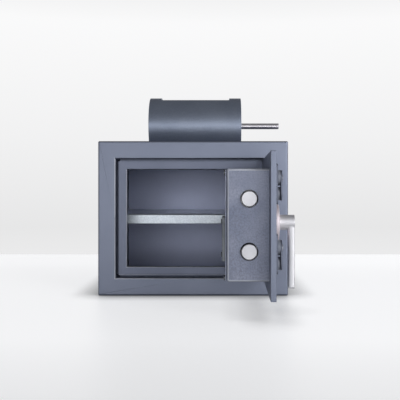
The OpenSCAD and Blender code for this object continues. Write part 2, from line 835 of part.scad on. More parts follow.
module hinge_dog_bar() {
  color("silver") on_door()
    block([box_hinge_x + seat_gap, dog_in, mid_z - dog_h / 2],
          [dog_x1, dog_in + dog_w, mid_z + dog_h / 2]);
}

module bolt_guide() {
  guide_x = -lock_u + 1;
  color("silver") on_door() difference() {
    block([guide_x, plate_in + lock_case_t + 0.3, mid_z - box_h / 2 + box_t + seat_gap],
          [guide_x + guide_t, box_back - box_t - 0.3, mid_z + box_h / 2 - box_t - seat_gap]);
    for (side = [-1, 1])
      rod_x(bolt_v, mid_z + side * bolt_spacing / 2, bolt_r + run_gap, guide_x - 1, guide_x + guide_t + 1);
  }
}

// Each case is held by two screws at its outer end, clear of the lock bolt's pocket
function lock_screw_places() = [
  for (z = key_zs, x = [lock_case_x0 + lock_screw_inset,
                        lock_bolt_x0 - lock_case_wall - lock_screw_inset])
    [x, z + sign(z - mid_z) * (lock_case_h / 2 - lock_screw_inset)]
];

module lock_screw_holes(y0, y1) {
  for (p = lock_screw_places()) rod_y(p[0], p[1], screw_d / 2 + seat_gap, y0, y1);
}

// Case of a lock between two heights; the lock bolt's pocket opens at mouth_z
module lock_case(key_z, mouth_z, dir) {
  pocket_h = lock_bolt_len + 2;
  difference() {
    block([lock_case_x0, plate_in + seat_gap, key_z - lock_case_h / 2],
          [lock_case_x1, plate_in + lock_case_t, key_z + lock_case_h / 2]);
    block([lock_bolt_x0 - slide_gap, lock_bolt_in - slide_gap, dir > 0 ? mouth_z - 1 : mouth_z - pocket_h],
          [lock_bolt_x1 + slide_gap, lock_bolt_in + lock_bolt_t + slide_gap,
           dir > 0 ? mouth_z + pocket_h : mouth_z + 1]);
    rod_y(-lock_u, key_z, key_hole_r, plate_in - 1, plate_in + lock_case_t - 3);
    lock_screw_holes(plate_in - 1, plate_in + lock_case_t + 1);
  }
}

module upper_lock_case() {
  color("dimgray") on_door() lock_case(key_zs[0], upper_case_z, 1);
}

module lower_lock_case() {
  color("dimgray") on_door() lock_case(key_zs[1], lower_case_z, -1);
}

module lock_case_screws() {
  head_y = plate_in + lock_case_t + seat_gap;
  color("silver") on_door() for (p = lock_screw_places()) {
    rod_y(p[0], p[1], screw_d / 2, plate_in - lock_screw_in + 0.5, head_y + eps);
    rod_y(p[0], p[1], screw_d * 0.9, head_y, head_y + lock_screw_head_t);
  }
}

// Flat piece with round ends, standing along Z at the lock's line
module lozenge(w, z0, z1, y0, y1) {
  translate([-lock_u, 0, (z0 + z1) / 2]) upright(y0, y1) rounded_rect(w, z1 - z0, w / 2 - 0.5);
}

module lock_escutcheons() {
  corner_r = 5;
  color("dimgray") on_door() for (z = key_zs) difference() {
    translate([-lock_u, 0, z + (escutcheon_high - escutcheon_low) / 2])
      upright(escutcheon_out, plate_out - seat_gap)
        rounded_rect(escutcheon_w, escutcheon_high + escutcheon_low, corner_r);
    rod_y(-lock_u, z, key_hole_r, escutcheon_out - 1, plate_out + 1);
    rod_y(-lock_u, z + cover_rivet_up, rivet_d / 2 + seat_gap, escutcheon_out - 1, plate_out + 1);
  }
}

module keyhole_bezels() {
  out = escutcheon_out - bezel_t;
  edge = 1;
  color("silver") on_door() for (z = key_zs) difference() {
    union() {
      rod_y(-lock_u, z, bezel_d / 2, out + edge, escutcheon_out - seat_gap);
      translate([-lock_u, out + edge + eps, z]) rotate([90, 0, 0])
        cylinder(r1 = bezel_d / 2, r2 = bezel_d / 2 - edge, h = edge);
    }
    rod_y(-lock_u, z, key_hole_r, out - 1, escutcheon_out + 1);
  }
}

module cover_bosses() {
  color("dimgray") on_door() for (z = key_zs) difference() {
    rod_y(-lock_u, z + cover_rivet_up, cover_boss_d / 2, boss_out, escutcheon_out - seat_gap);
    rod_y(-lock_u, z + cover_rivet_up, rivet_d / 2 + seat_gap, boss_out - 1, escutcheon_out + 1);
  }
}

module cover_rivets() {
  head_in = key_cover_out - 0.2;
  color("silver") on_door() for (z = key_zs) {
    rod_y(-lock_u, z + cover_rivet_up, rivet_d / 2, head_in - eps, plate_out + rivet_in - 1);
    rod_y(-lock_u, z + cover_rivet_up, rivet_head_r, head_in - rivet_head_t, head_in);
  }
}

module key_cover(z) {
  color("dimgray") on_door() difference() {
    lozenge(key_cover_w, z + cover_rivet_up - key_cover_len, z + cover_rivet_up + key_cover_w / 2,
            key_cover_out, key_cover_in);
    rod_y(-lock_u, z + cover_rivet_up, rivet_d / 2 + run_gap, key_cover_out - 1, key_cover_in + 1);
  }
}

module upper_key_cover() {
  key_cover(key_zs[0]);
}

module lower_key_cover() {
  key_cover(key_zs[1]);
}

module handle_rose() {
  edge = 1.5;
  color("rosybrown") on_door() difference() {
    union() {
      rod_y(-handle_u, mid_z, rose_d / 2, plate_out - rose_t + edge, plate_out - seat_gap);
      translate([-handle_u, plate_out - rose_t + edge + eps, mid_z]) rotate([90, 0, 0])
        cylinder(r1 = rose_d / 2, r2 = rose_d / 2 - edge, h = edge);
    }
    rod_y(-handle_u, mid_z, spindle_d / 2 + run_gap, plate_out - rose_t - 1, plate_out + 1);
  }
}

// Handle

module handle_lever() {
  hub_in = plate_out - rose_t - slide_gap;
  out = plate_out - handle_proud;
  tip_z = mid_z - grip_len;
  color("silver") on_door() difference() {
    union() {
      rod_y(-handle_u, mid_z, handle_hub_d / 2, out, hub_in);
      translate([-handle_u, 0, (mid_z + tip_z) / 2]) upright(out, out + grip_t)
        rounded_rect(grip_w, mid_z - tip_z, grip_round_r);
    }
    rod_y(-handle_u, mid_z, spindle_d / 2 + seat_gap, out + grip_t - 2, hub_in + 1);
  }
}

module handle_spindle() {
  groove_in = plate_in + slide_gap;
  color("silver") on_door() difference() {
    rod_y(-handle_u, mid_z, spindle_d / 2, plate_out - handle_proud + grip_t - 1.5, cam_back);
    difference() {
      rod_y(-handle_u, mid_z, spindle_d / 2 + 1, groove_in, groove_in + clip_t + 0.2);
      rod_y(-handle_u, mid_z, spindle_d / 2 - clip_groove, groove_in - 1, groove_in + 3);
    }
  }
}

module spindle_clip() {
  clip_in = plate_in + slide_gap + 0.1;
  rim = 3;
  color("dimgray") on_door() difference() {
    rod_y(-handle_u, mid_z, spindle_d / 2 + rim, clip_in, clip_in + clip_t);
    rod_y(-handle_u, mid_z, spindle_d / 2 - clip_groove + seat_gap, clip_in - 1, clip_in + 3);
  }
}

module spindle_cam() {
  color("dimgray") on_door() difference() {
    rod_y(-handle_u, mid_z, cam_r, cam_in, cam_back);
    rod_y(-handle_u, mid_z, spindle_d / 2 + seat_gap, cam_in - 1, cam_back + 1);
    rod_y(-handle_u + crank_z, mid_z + crank_z, cam_pin_d / 2 + seat_gap, cam_in - 1, cam_back + 1);
  }
}

module cam_pin() {
  color("silver") on_door()
    rod_y(-handle_u + crank_z, mid_z + crank_z, cam_pin_d / 2, cam_in, arm_back + 1);
}

// Bolt work

module locking_bolt(z) {
  color("white") on_door() difference() {
    union() {
      rod_x(bolt_v, z, bolt_r, bolt_tip_x + bolt_chamfer, bar_x0 - seat_gap);
      translate([bolt_tip_x, bolt_v, z]) rotate([0, 90, 0])
        cylinder(r1 = bolt_r - bolt_chamfer, r2 = bolt_r, h = bolt_chamfer + eps);
    }
    rod_x(bolt_v, z, carriage_screw_d / 2 + seat_gap, bar_x0 - carriage_screw_in - 1, bar_x0 + 1);
  }
}

module upper_bolt() {
  locking_bolt(mid_z + bolt_spacing / 2);
}

module lower_bolt() {
  locking_bolt(mid_z - bolt_spacing / 2);
}

// Bar between the bolts, arm with the cam pin's slot, and a tab under or over each lock case
module bolt_carriage() {
  bar_front = arm_back - carriage_depth;
  slot_end_gap = 0.6;
  slot_rim = 6;
  slot_low = mid_z + crank_z - cam_pin_d / 2 - slot_end_gap;
  slot_high = mid_z + crank_r + cam_pin_d / 2 + slot_end_gap;
  upper_tab_z = upper_case_z - tab_case_gap - tab_h;
  lower_tab_z = lower_case_z + tab_case_gap;
  color("silver") on_door() difference() {
    union() {
      block([bar_x0, bar_front, mid_z - bar_h / 2], [bar_x1, arm_back, mid_z + bar_h / 2]);
      block([bar_x0, arm_in, slot_low - 2 * slot_rim],
            [slot_x + slot_w / 2 + slot_rim, arm_back, slot_high + slot_rim]);
      for (z = [upper_tab_z, lower_tab_z])
        block([tab_x0, lock_bolt_in + 1, z], [tab_x1, arm_back, z + tab_h]);
    }
    block([slot_x - slot_w / 2, arm_in - 1, slot_low], [slot_x + slot_w / 2, arm_back + 1, slot_high]);
    for (side = [-1, 1]) {
      z = mid_z + side * bolt_spacing / 2;
      rod_x(bolt_v, z, carriage_screw_d / 2 + seat_gap, bar_x0 - 1, bar_x1 + 1);
      rod_x(bolt_v, z, carriage_head_r + slide_gap, bar_x1, tab_x1 + 1);
    }
  }
}

module carriage_screws() {
  color("dimgray") on_door() for (side = [-1, 1]) {
    z = mid_z + side * bolt_spacing / 2;
    rod_x(bolt_v, z, carriage_screw_d / 2, bar_x0 - carriage_screw_in, bar_x1 + 1);
    rod_x(bolt_v, z, carriage_head_r, bar_x1 + seat_gap, bar_x1 + carriage_head_t);
  }
}

module lock_bolt(z0) {
  color("gold") on_door()
    block([lock_bolt_x0, lock_bolt_in, z0], [lock_bolt_x1, lock_bolt_in + lock_bolt_t, z0 + lock_bolt_len]);
}

module upper_lock_bolt() {
  lock_bolt(upper_case_z);
}

module lower_lock_bolt() {
  lock_bolt(lower_case_z - lock_bolt_len);
}

outer_shell();
back_plate();
door_frame();
stop_frame();
hinge_pins();
hinge_pads();
hinge_washers();
shelf();
shelf_brackets();
deposit_chute();
anti_fishing_combs();
drum_housing();
left_end_plate();
right_end_plate();
end_plate_lugs();
end_plate_screws();
drum_bushes();
rotor_scoop();
rotor_end_discs();
rotor_stub_shafts();
rotor_rod();
rod_nut();
door_plate();
bolt_box();
box_cover();
cover_screws();
lock_guard();
guard_screws();
hinge_dog_bar();
bolt_guide();
upper_lock_case();
lower_lock_case();
lock_case_screws();
lock_escutcheons();
keyhole_bezels();
cover_bosses();
cover_rivets();
handle_rose();
handle_lever();
handle_spindle();
spindle_clip();
spindle_cam();
cam_pin();
upper_bolt();
lower_bolt();
bolt_carriage();
carriage_screws();
upper_lock_bolt();
lower_lock_bolt();
upper_key_cover();
lower_key_cover();
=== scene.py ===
import math
import bmesh
import bpy
from mathutils import Matrix, Vector


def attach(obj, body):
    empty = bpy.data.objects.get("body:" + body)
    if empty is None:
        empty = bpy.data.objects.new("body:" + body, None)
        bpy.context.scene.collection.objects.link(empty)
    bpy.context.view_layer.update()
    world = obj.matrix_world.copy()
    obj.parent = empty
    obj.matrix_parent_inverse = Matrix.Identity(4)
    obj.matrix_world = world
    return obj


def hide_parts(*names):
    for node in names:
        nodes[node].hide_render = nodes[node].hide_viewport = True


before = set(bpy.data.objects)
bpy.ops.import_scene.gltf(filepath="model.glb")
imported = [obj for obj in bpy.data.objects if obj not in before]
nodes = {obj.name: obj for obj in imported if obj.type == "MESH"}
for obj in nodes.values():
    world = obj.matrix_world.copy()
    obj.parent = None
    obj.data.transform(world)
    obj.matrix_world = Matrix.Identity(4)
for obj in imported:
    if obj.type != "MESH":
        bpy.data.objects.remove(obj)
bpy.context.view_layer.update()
mm = 0.001

# The door's own frame: origin on the hinge axis, free edge at -X, inwards +Y
doorPlace = {"pivot": (124.9, -186.0), "open": 88.5}
# Centre of the drum: Y and Z of its axis
drumAxis = {"y": -39.0, "z": 307.6}


# Small helpers for selecting, shaping and finishing a piece

def clearSelection():
    if bpy.context.object and bpy.context.object.mode != "OBJECT":
        bpy.ops.object.mode_set(mode="OBJECT")
    bpy.ops.object.select_all(action="DESELECT")


def makeActive(piece):
    clearSelection()
    piece.select_set(True)
    bpy.context.view_layer.objects.active = piece


def editMode(piece):
    makeActive(piece)
    bpy.ops.object.mode_set(mode="EDIT")


def objectMode():
    bpy.ops.object.mode_set(mode="OBJECT")


def settle(piece):
    makeActive(piece)
    bpy.ops.object.transform_apply(location=True, rotation=True, scale=True)


def addBlock(name, low, high):
    clearSelection()
    middle = [(a + b) / 2 * mm for a, b in zip(low, high)]
    bpy.ops.mesh.primitive_cube_add(size=1, location=middle)
    piece = bpy.context.object
    piece.name = name
    piece.scale = [(b - a) * mm for a, b in zip(low, high)]
    settle(piece)
    return piece


def addRod(name, start, end, radius, sides=64):
    clearSelection()
    a, b = Vector(start) * mm, Vector(end) * mm
    turn = (b - a).to_track_quat("Z", "Y").to_euler()
    bpy.ops.mesh.primitive_cylinder_add(vertices=sides, radius=radius * mm, location=(a + b) / 2,
                                        depth=(b - a).length, rotation=turn)
    piece = bpy.context.object
    piece.name = name
    settle(piece)
    return piece


def pickEdges(piece, test):
    mesh = bmesh.from_edit_mesh(piece.data)
    bpy.ops.mesh.select_all(action="DESELECT")
    bpy.ops.mesh.select_mode(type="EDGE")
    for edge in mesh.edges:
        ends = [v.co / mm for v in edge.verts]
        edge.select_set(bool(test(ends[0], ends[1])))
    bmesh.update_edit_mesh(piece.data)


def pickFaces(piece, test):
    mesh = bmesh.from_edit_mesh(piece.data)
    bpy.ops.mesh.select_all(action="DESELECT")
    bpy.ops.mesh.select_mode(type="FACE")
    mesh.faces.ensure_lookup_table()
    for face in mesh.faces:
        face.select_set(bool(test(face.calc_center_median() / mm, face.normal)))
    bmesh.update_edit_mesh(piece.data)


def roundEdges(piece, width, segments, test, paintedHighlight=False):
    # Faces that get the painted edge highlight go to the second material slot
    while len(piece.data.materials) < 2:
        piece.data.materials.append(None)
    editMode(piece)
    pickEdges(piece, test)
    bpy.ops.mesh.bevel(offset=width * mm, segments=segments, profile=0.5, affect="EDGES",
                       clamp_overlap=False, material=1 if paintedHighlight else -1)
    objectMode()


def quarterCut(piece, x, z):
    # A ring's face with a hole becomes four plain faces, which bevel cleanly
    editMode(piece)
    for place, normal in (((x * mm, 0, 0), (1, 0, 0)), ((0, 0, z * mm), (0, 0, 1))):
        bpy.ops.mesh.select_all(action="SELECT")
        bpy.ops.mesh.bisect(plane_co=place, plane_no=normal)
    objectMode()


def assignFaces(piece, index, test):
    editMode(piece)
    pickFaces(piece, test)
    piece.active_material_index = index
    bpy.ops.object.material_slot_assign()
    objectMode()


def applyModifier(piece, modifier):
    makeActive(piece)
    bpy.ops.object.modifier_apply(modifier=modifier.name)


def softenEdges(piece, width, segments=2, angle=32):
    bevel = piece.modifiers.new("softEdges", "BEVEL")
    bevel.width = width * mm
    bevel.segments = segments
    bevel.limit_method = "ANGLE"
    bevel.angle_limit = math.radians(angle)
    bevel.use_clamp_overlap = False
    applyModifier(piece, bevel)


def combine(piece, other, operation):
    boolean = piece.modifiers.new("joinOrCut", "BOOLEAN")
    boolean.operation = operation
    boolean.solver = "EXACT"
    boolean.object = other
    applyModifier(piece, boolean)
    bpy.data.objects.remove(other)


def shadeSoft(piece, angle=48):
    makeActive(piece)
    bpy.ops.object.shade_smooth_by_angle(angle=math.radians(angle))
    weighted = piece.modifiers.new("evenNormals", "WEIGHTED_NORMAL")
    weighted.keep_sharp = True
    applyModifier(piece, weighted)


# Points closer than "merge" mm become one, and faces that meet at less than "flat" degrees join
cleanUp = {"merge": 0.004, "flat": 0.6}


def copyNode(nodeName, pieceName):
    piece = bpy.data.objects.new(pieceName, nodes[nodeName].data.copy())
    bpy.context.scene.collection.objects.link(piece)
    makeActive(piece)
    bpy.ops.mesh.customdata_custom_splitnormals_clear()
    bpy.ops.object.mode_set(mode="EDIT")
    bpy.ops.mesh.select_all(action="SELECT")
    bpy.ops.mesh.remove_doubles(threshold=cleanUp["merge"] * mm)
    bpy.ops.mesh.dissolve_limited(angle_limit=math.radians(cleanUp["flat"]))
    objectMode()
    return piece


def doorMatrix():
    x, y = doorPlace["pivot"]
    turn = Matrix.Rotation(math.radians(doorPlace["open"]), 4, "Z")
    return Matrix.Translation((x * mm, y * mm, 0)) @ turn


def toDoor(piece):
    piece.data.transform(doorMatrix())


def fromDoor(piece):
    piece.data.transform(doorMatrix().inverted())


def finishPiece(piece, body, stands, material, paintedHighlight=None):
    # The faces that roundEdges marked keep the second slot when the piece has a painted edge highlight
    marks = [min(face.material_index, 1) for face in piece.data.polygons]
    piece.data.materials.clear()
    piece.data.materials.append(materials[material])
    if paintedHighlight:
        piece.data.materials.append(materials[paintedHighlight])
        piece.data.polygons.foreach_set("material_index", marks)
    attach(piece, body)
    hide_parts(*stands)


# A face looks along an axis when this much of its normal does
facing = 0.9


def near(a, b, room=0.05):
    return abs(a - b) < room


def meets(a, b, room=0.1):
    return (a - b).length < room


def reach(piece):
    corners = [v.co / mm for v in piece.data.vertices]
    return [(min(c[k] for c in corners), max(c[k] for c in corners)) for k in range(3)]


def alongEdge(a, b, **places):
    return all(near(getattr(a, k), v) and near(getattr(b, k), v) for k, v in places.items())


# The part of each noise that is spread over a look's whole range
noiseLimits = {"cloud": (0.35, 0.65), "grain": (0.3, 0.72), "rough": (0.3, 0.7), "cells": (0.2, 1.3)}


def startMaterial(name):
    material = bpy.data.materials.new(name)
    material.use_nodes = True
    tree = material.node_tree
    return material, tree, tree.nodes["Principled BSDF"]


def link(tree, source, output, target, socket):
    tree.links.new(source.outputs[output], target.inputs[socket])


def addNoise(tree, coords, scale, detail=2.0, rough=0.5, stretch=None):
    noise = tree.nodes.new("ShaderNodeTexNoise")
    noise.inputs["Scale"].default_value = scale
    noise.inputs["Detail"].default_value = detail
    noise.inputs["Roughness"].default_value = rough
    if stretch:
        mapping = tree.nodes.new("ShaderNodeMapping")
        mapping.inputs["Scale"].default_value = stretch
        link(tree, coords, "Object", mapping, "Vector")
        link(tree, mapping, "Vector", noise, "Vector")
    else:
        link(tree, coords, "Object", noise, "Vector")
    return noise


def addRange(tree, source, output, fromLow, fromHigh, toLow, toHigh):
    spread = tree.nodes.new("ShaderNodeMapRange")
    spread.inputs["From Min"].default_value = fromLow
    spread.inputs["From Max"].default_value = fromHigh
    spread.inputs["To Min"].default_value = toLow
    spread.inputs["To Max"].default_value = toHigh
    link(tree, source, output, spread, "Value")
    return spread


def addMix(tree, colourA, colourB, factorNode=None, factorOut="Result", blend="MIX", factor=0.5):
    mix = tree.nodes.new("ShaderNodeMix")
    mix.data_type = "RGBA"
    mix.blend_type = blend
    mix.inputs["Factor"].default_value = factor
    for slot, colour in ((6, colourA), (7, colourB)):
        if isinstance(colour, tuple):
            mix.inputs[slot].default_value = (*colour, 1)
        else:
            tree.links.new(colour.outputs[2] if colour.bl_idname == "ShaderNodeMix" else colour.outputs[0],
                           mix.inputs[slot])
    if factorNode:
        link(tree, factorNode, factorOut, mix, "Factor")
    return mix


def addBump(tree, shader, heights, depth):
    bump = tree.nodes.new("ShaderNodeBump")
    bump.inputs["Distance"].default_value = depth * mm
    bump.inputs["Strength"].default_value = 1.0
    link(tree, heights, "Fac" if heights.bl_idname == "ShaderNodeTexNoise" else 0, bump, "Height")
    link(tree, bump, "Normal", shader, "Normal")


def makePaint(name, look):
    material, tree, shader = startMaterial(name)
    coords = tree.nodes.new("ShaderNodeTexCoord")
    cloud = addNoise(tree, coords, look["cloudScale"], detail=3.0, rough=0.55)
    cloudRange = addRange(tree, cloud, "Fac", *noiseLimits["cloud"], 0.0, 1.0)
    colour = addMix(tree, look["dark"], look["light"], cloudRange)
    grain = addNoise(tree, coords, look["grainScale"], detail=3.0, rough=0.6)
    grainRange = addRange(tree, grain, "Fac", *noiseLimits["grain"],
                          1.0 - look["grain"], 1.0 + look["grain"])
    grained = addMix(tree, colour, (1.0, 1.0, 1.0), blend="MULTIPLY", factor=1.0)
    tree.links.new(grainRange.outputs["Result"], grained.inputs[7])
    tree.links.new(grained.outputs[2], shader.inputs["Base Color"])
    roughness = addRange(tree, grain, "Fac", *noiseLimits["rough"], *look["rough"])
    link(tree, roughness, "Result", shader, "Roughness")
    shader.inputs["Metallic"].default_value = look["metal"]
    peel = addNoise(tree, coords, look["peelScale"])
    addBump(tree, shader, peel, look["peel"])
    return material


def makeMetal(name, look):
    material, tree, shader = startMaterial(name)
    coords = tree.nodes.new("ShaderNodeTexCoord")
    cloud = addNoise(tree, coords, look["cloudScale"], detail=3.0)
    cloudRange = addRange(tree, cloud, "Fac", *noiseLimits["cloud"], 0.0, 1.0)
    colour = addMix(tree, look["dark"], look["light"], cloudRange)
    tree.links.new(colour.outputs[2], shader.inputs["Base Color"])
    brush = addNoise(tree, coords, look["brushScale"], detail=3.0, rough=0.6, stretch=look["brushAlong"])
    roughness = addRange(tree, brush, "Fac", *noiseLimits["rough"], *look["rough"])
    link(tree, roughness, "Result", shader, "Roughness")
    shader.inputs["Metallic"].default_value = look.get("metal", 1.0)
    addBump(tree, shader, brush, look["depth"])
    return material


def makeGalvanised(name, look):
    material, tree, shader = startMaterial(name)
    coords = tree.nodes.new("ShaderNodeTexCoord")
    warp = addNoise(tree, coords, look["warpScale"])
    bent = tree.nodes.new("ShaderNodeVectorMath")
    bent.operation = "MULTIPLY_ADD"
    bent.inputs[1].default_value = (look["warp"] * mm,) * 3
    link(tree, warp, "Color", bent, 0)
    link(tree, coords, "Object", bent, 2)
    cells = tree.nodes.new("ShaderNodeTexVoronoi")
    cells.inputs["Scale"].default_value = look["cellScale"]
    link(tree, bent, "Vector", cells, "Vector")
    split = tree.nodes.new("ShaderNodeSeparateColor")
    link(tree, cells, "Color", split, "Color")
    fine = addNoise(tree, coords, look["fineScale"], detail=4.0, rough=0.65)
    both = tree.nodes.new("ShaderNodeMath")
    both.operation = "MULTIPLY_ADD"
    both.inputs[1].default_value = look["fine"]
    link(tree, fine, "Fac", both, 0)
    link(tree, split, "Red", both, 2)
    level = addRange(tree, both, "Value", *noiseLimits["cells"], 0.0, 1.0)
    colour = addMix(tree, look["dark"], look["light"], level)
    tree.links.new(colour.outputs[2], shader.inputs["Base Color"])
    roughness = addRange(tree, split, "Green", 0.0, 1.0, *look["rough"])
    link(tree, roughness, "Result", shader, "Roughness")
    shader.inputs["Metallic"].default_value = look["metal"]
    addBump(tree, shader, fine, look["depth"])
    shader.inputs["Coat Weight"].default_value = look["coat"]
    shader.inputs["Coat Roughness"].default_value = look["coatRough"]
    return material


paints = {
    "bodyPaint": {"dark": (0.198, 0.222, 0.295), "light": (0.215, 0.24, 0.316), "cloudScale": 9.0,
                  "grain": 0.05, "grainScale": 900.0, "rough": (0.37, 0.47), "metal": 0.8,
                  "peel": 0.04, "peelScale": 520.0},
    "drumPaint": {"dark": (0.246, 0.285, 0.372), "light": (0.284, 0.324, 0.416), "cloudScale": 14.0,
                  "grain": 0.1, "grainScale": 620.0, "rough": (0.36, 0.46), "metal": 0.8,
                  "peel": 0.2, "peelScale": 210.0},
    # A lighter, duller copy of the body paint for bevels: a painted edge highlight
    "paintedEdgeHighlight": {"dark": (0.44, 0.47, 0.55), "light": (0.54, 0.57, 0.65), "cloudScale": 40.0,
                 "grain": 0.08, "grainScale": 900.0, "rough": (0.5, 0.62), "metal": 0.15,
                 "peel": 0.04, "peelScale": 520.0},
    # A darker copy of the body paint for the stop frame: painted shade in the recess
    "stopPaintShaded": {"dark": (0.15, 0.168, 0.228), "light": (0.17, 0.189, 0.254), "cloudScale": 9.0,
                  "grain": 0.05, "grainScale": 900.0, "rough": (0.37, 0.47), "metal": 0.8,
                  "peel": 0.04, "peelScale": 520.0},
    "boxPaint": {"dark": (0.155, 0.174, 0.238), "light": (0.238, 0.256, 0.328), "cloudScale": 15.0,
                 "grain": 0.24, "grainScale": 420.0, "rough": (0.36, 0.5), "metal": 0.8,
                 "peel": 0.15, "peelScale": 380.0},
    # A much lighter copy of the body paint for the inside of the back: painted light in the cavity
    "innerPaintLit": {"dark": (0.55, 0.6, 0.815), "light": (0.6, 0.655, 0.88), "cloudScale": 9.0,
                   "grain": 0.04, "grainScale": 900.0, "rough": (0.44, 0.52), "metal": 0.8,
                   "peel": 0.04, "peelScale": 520.0},
    "lockDark": {"dark": (0.15, 0.165, 0.215), "light": (0.175, 0.193, 0.25), "cloudScale": 30.0,
                 "grain": 0.08, "grainScale": 900.0, "rough": (0.5, 0.6), "metal": 0.75,
                 "peel": 0.03, "peelScale": 700.0},
    "lockBlack": {"dark": (0.05, 0.056, 0.072), "light": (0.075, 0.082, 0.1), "cloudScale": 30.0,
                  "grain": 0.1, "grainScale": 900.0, "rough": (0.35, 0.5), "metal": 0.3,
                  "peel": 0.03, "peelScale": 700.0},
}

metals = {
    "zincPlate": {"dark": (0.4, 0.41, 0.44), "light": (0.55, 0.56, 0.58), "cloudScale": 60.0,
                  "brushScale": 300.0, "brushAlong": (1, 1, 1), "rough": (0.3, 0.45), "depth": 0.01},
    "polished": {"dark": (0.52, 0.525, 0.56), "light": (0.6, 0.605, 0.64), "cloudScale": 24.0,
                 "brushScale": 160.0, "brushAlong": (1, 1, 1), "rough": (0.36, 0.44), "depth": 0.0008,
                 "metal": 0.85},
    "rodSteel": {"dark": (0.76, 0.74, 0.79), "light": (0.84, 0.82, 0.87), "cloudScale": 20.0,
                 "brushScale": 60.0, "brushAlong": (1, 1, 1), "rough": (0.3, 0.36), "depth": 0.0004},
    "satinSteel": {"dark": (0.735, 0.735, 0.765), "light": (0.795, 0.795, 0.825), "cloudScale": 30.0,
                   "brushScale": 420.0, "brushAlong": (8, 8, 1), "rough": (0.56, 0.63), "depth": 0.003},
    "lockSatin": {"dark": (0.25, 0.27, 0.325), "light": (0.29, 0.312, 0.372), "cloudScale": 40.0,
                  "brushScale": 420.0, "brushAlong": (1, 1, 6), "rough": (0.52, 0.62), "depth": 0.003,
                  "metal": 0.3},
    "roseSteel": {"dark": (0.88, 0.8, 0.84), "light": (0.95, 0.87, 0.91), "cloudScale": 40.0,
                  "brushScale": 500.0, "brushAlong": (1, 1, 1), "rough": (0.6, 0.7), "depth": 0.004},
    "guardZinc": {"dark": (0.115, 0.125, 0.14), "light": (0.16, 0.172, 0.192), "cloudScale": 45.0,
                  "brushScale": 320.0, "brushAlong": (1, 1, 1), "rough": (0.38, 0.55), "depth": 0.01},
    "bronze": {"dark": (0.45, 0.31, 0.17), "light": (0.6, 0.44, 0.26), "cloudScale": 60.0,
               "brushScale": 400.0, "brushAlong": (1, 1, 1), "rough": (0.3, 0.5), "depth": 0.01},
    "brass": {"dark": (0.62, 0.48, 0.24), "light": (0.75, 0.6, 0.34), "cloudScale": 60.0,
              "brushScale": 400.0, "brushAlong": (1, 1, 1), "rough": (0.2, 0.35), "depth": 0.005},
}

shelfZinc = {"dark": (0.57, 0.632, 0.72), "light": (0.73, 0.8, 0.872), "cellScale": 520.0,
             "warpScale": 520.0, "warp": 3.0, "fineScale": 1500.0, "fine": 0.7, "rough": (0.38, 0.5),
             "metal": 0.85, "depth": 0.004, "coat": 1.0, "coatRough": 0.14}

materials = {name: makePaint(name, look) for name, look in paints.items()}
materials.update({name: makeMetal(name, look) for name, look in metals.items()})
materials["galvanised"] = makeGalvanised("galvanised", shelfZinc)
print("materials made")


cameraView = {"place": (0.0408, -1.3481, 0.18375), "lens": 60.08, "sensor": 36.0,
              "shift": (-0.04145, -0.02594)}

# Levels by height, 0 straight down and 1 straight up: the room in front, its two sides, and the
# lit backdrop behind the object
roomStops = [(0.0, 0.16), (0.42, 0.2), (0.5, 0.24), (0.58, 0.2), (0.7, 0.17), (0.85, 0.145), (1.0, 0.185)]
sideStops = [(0.0, 0.3), (0.42, 0.42), (0.5, 0.5), (0.6, 0.5), (0.75, 0.36), (0.9, 0.24), (1.0, 0.22)]
backdropStops = [(0.0, 0.80), (0.40, 0.80), (0.455, 0.83), (0.473, 0.80), (0.5035, 0.843),
                 (0.54, 0.888), (0.62, 0.96), (0.7, 0.66), (0.8, 0.35), (1.0, 0.2)]
# The room's light is a little cool
roomTint = (0.995, 0.995, 1.0)
# Where the backdrop and the sides fade in, from the middle of the room to its walls
backdropWidth = (0.72, 0.93)
sideWidth = (0.6, 0.95)

lamps = {
    "frontStrip": {"place": (0.1, -2.6, 0.32), "aim": (0.0, 0.0, 0.2), "size": (2.7, 0.58), "power": 11.6},
    "rightBank": {"place": (2.0, -2.6, 1.0), "aim": (0.0, 0.0, 0.2), "size": (1.3, 1.8), "power": 48.0},
}


def makeCamera(view):
    clearSelection()
    bpy.ops.object.camera_add(location=view["place"], rotation=(math.radians(90), 0, 0))
    camera = bpy.context.object
    camera.data.lens = view["lens"]
    camera.data.sensor_width = view["sensor"]
    camera.data.shift_x, camera.data.shift_y = view["shift"]
    bpy.context.scene.camera = camera


def addLevelRamp(tree, split, stops, axis="Z"):
    # Grey levels along an axis, from -1 to 1
    along = addRange(tree, split, axis, -1.0, 1.0, 0.0, 1.0)
    ramp = tree.nodes.new("ShaderNodeValToRGB")
    link(tree, along, "Result", ramp, "Fac")
    elements = ramp.color_ramp.elements
    while len(elements) < len(stops):
        elements.new(0.5)
    for element, (place, level) in zip(elements, stops):
        element.position = place
        element.color = (*[level * part for part in roomTint], 1)
    return ramp


def makeWorld(room, side, backdrop, width, sideReach):
    world = bpy.data.worlds.new("studio")
    bpy.context.scene.world = world
    world.use_nodes = True
    tree = world.node_tree
    background = tree.nodes["Background"]
    coords = tree.nodes.new("ShaderNodeTexCoord")
    split = tree.nodes.new("ShaderNodeSeparateXYZ")
    link(tree, coords, "Generated", split, "Vector")
    behind = addRange(tree, split, "Y", *width, 0.0, 1.0)
    behind.interpolation_type = "SMOOTHSTEP"
    across = tree.nodes.new("ShaderNodeMath")
    across.operation = "ABSOLUTE"
    link(tree, split, "X", across, 0)
    beside = addRange(tree, across, "Value", *sideReach, 0.0, 1.0)
    beside.interpolation_type = "SMOOTHSTEP"
    walls = addMix(tree, addLevelRamp(tree, split, room), addLevelRamp(tree, split, side), beside)
    # The camera sees the pale backdrop all round
    paths = tree.nodes.new("ShaderNodeLightPath")
    pale = tree.nodes.new("ShaderNodeMath")
    pale.operation = "MAXIMUM"
    link(tree, behind, "Result", pale, 0)
    link(tree, paths, "Is Camera Ray", pale, 1)
    both = addMix(tree, walls, addLevelRamp(tree, split, backdrop), pale, "Value")
    tree.links.new(both.outputs[2], background.inputs["Color"])


